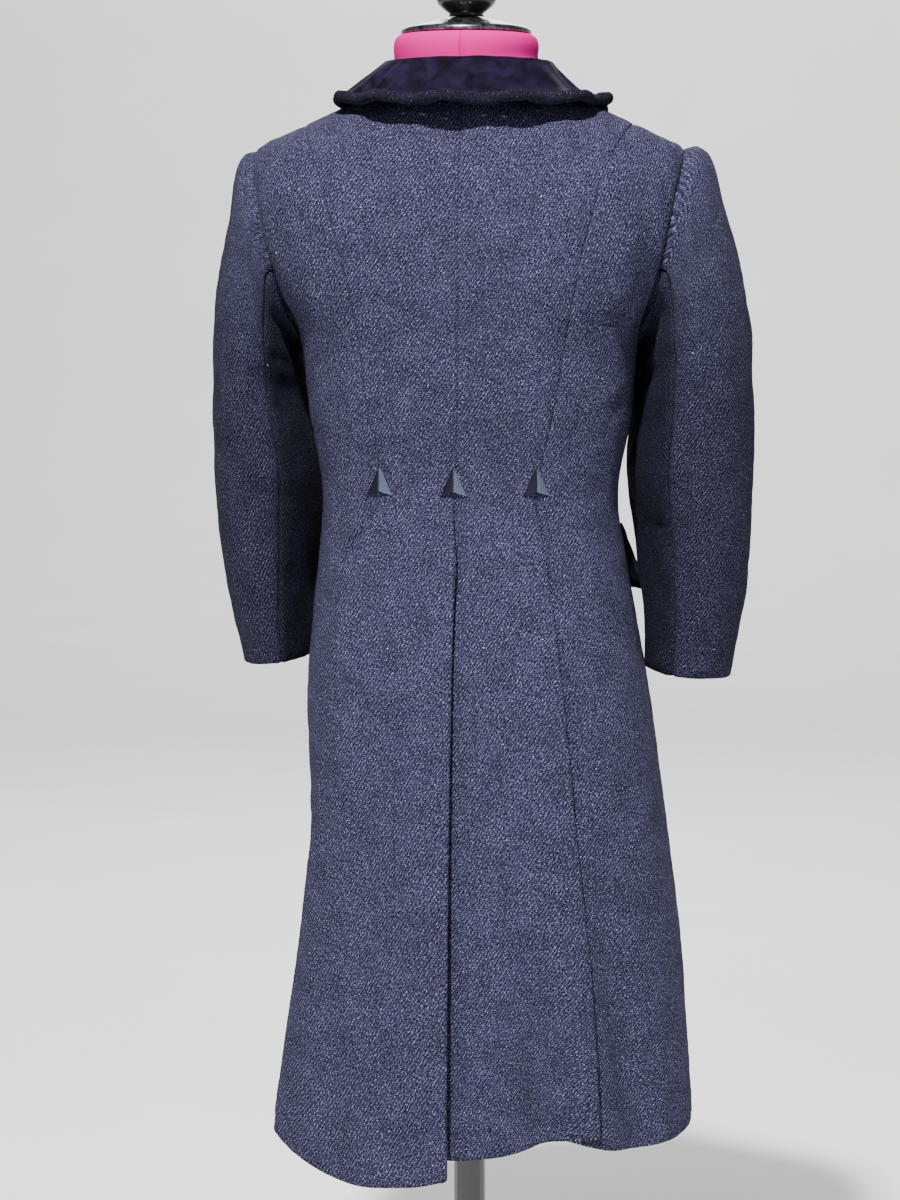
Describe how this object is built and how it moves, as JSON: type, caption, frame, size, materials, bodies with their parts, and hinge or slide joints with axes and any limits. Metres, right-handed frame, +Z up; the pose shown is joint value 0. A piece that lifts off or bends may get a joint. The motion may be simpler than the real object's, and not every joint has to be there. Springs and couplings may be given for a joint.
{
  "type": "wool coat on a dress form",
  "caption": "Girl's princess-line wool coat with velvet collar and pocket flaps, full pleated skirt and two-piece sleeves, on a limbless dress form with a round base.",
  "frame": {"origin": "middle of the round base's flat underside, on the floor", "axes": "+Z up the pole, -Y the way the coat's front faces, +X towards the wearer's left"},
  "size_m": [0.4122, 0.3087, 1.1961],
  "materials": {
    "wool": "napped navy boucle twill, matt",
    "velvet": "dark aubergine-navy pile, soft sheen at grazing angles",
    "tack_thread": "satin stitch, low sheen",
    "button": "plain dark",
    "form_jersey": "magenta jersey, matt",
    "dark_metal": "dark, polished in places",
    "stand_black": "gloss black"
  },
  "bodies": {
    "root": {"arrowhead_centre": "tack_thread", "arrowhead_left": "tack_thread", "arrowhead_right": "tack_thread", "back_left": "wool", "back_right": "wool", "base": "stand_black", "button_1": "button", "button_2": "button", "button_3": "button", "button_4": "button", "button_5": "button", "collar": "velvet", "collar_welt": "wool", "finial": "stand_black", "flap_left": "velvet", "flap_right": "velvet", "flap_welt_left": "wool", "flap_welt_right": "wool", "form_body": "form_jersey", "front_left": "wool", "front_right": "wool", "neck_cap": "dark_metal", "pole": "stand_black", "side_back_left": "wool", "side_back_right": "wool", "side_front_left": "wool", "side_front_right": "wool", "top_sleeve_left": "wool", "top_sleeve_right": "wool", "under_sleeve_left": "wool", "under_sleeve_right": "wool"}
  },
  "joints": []
}
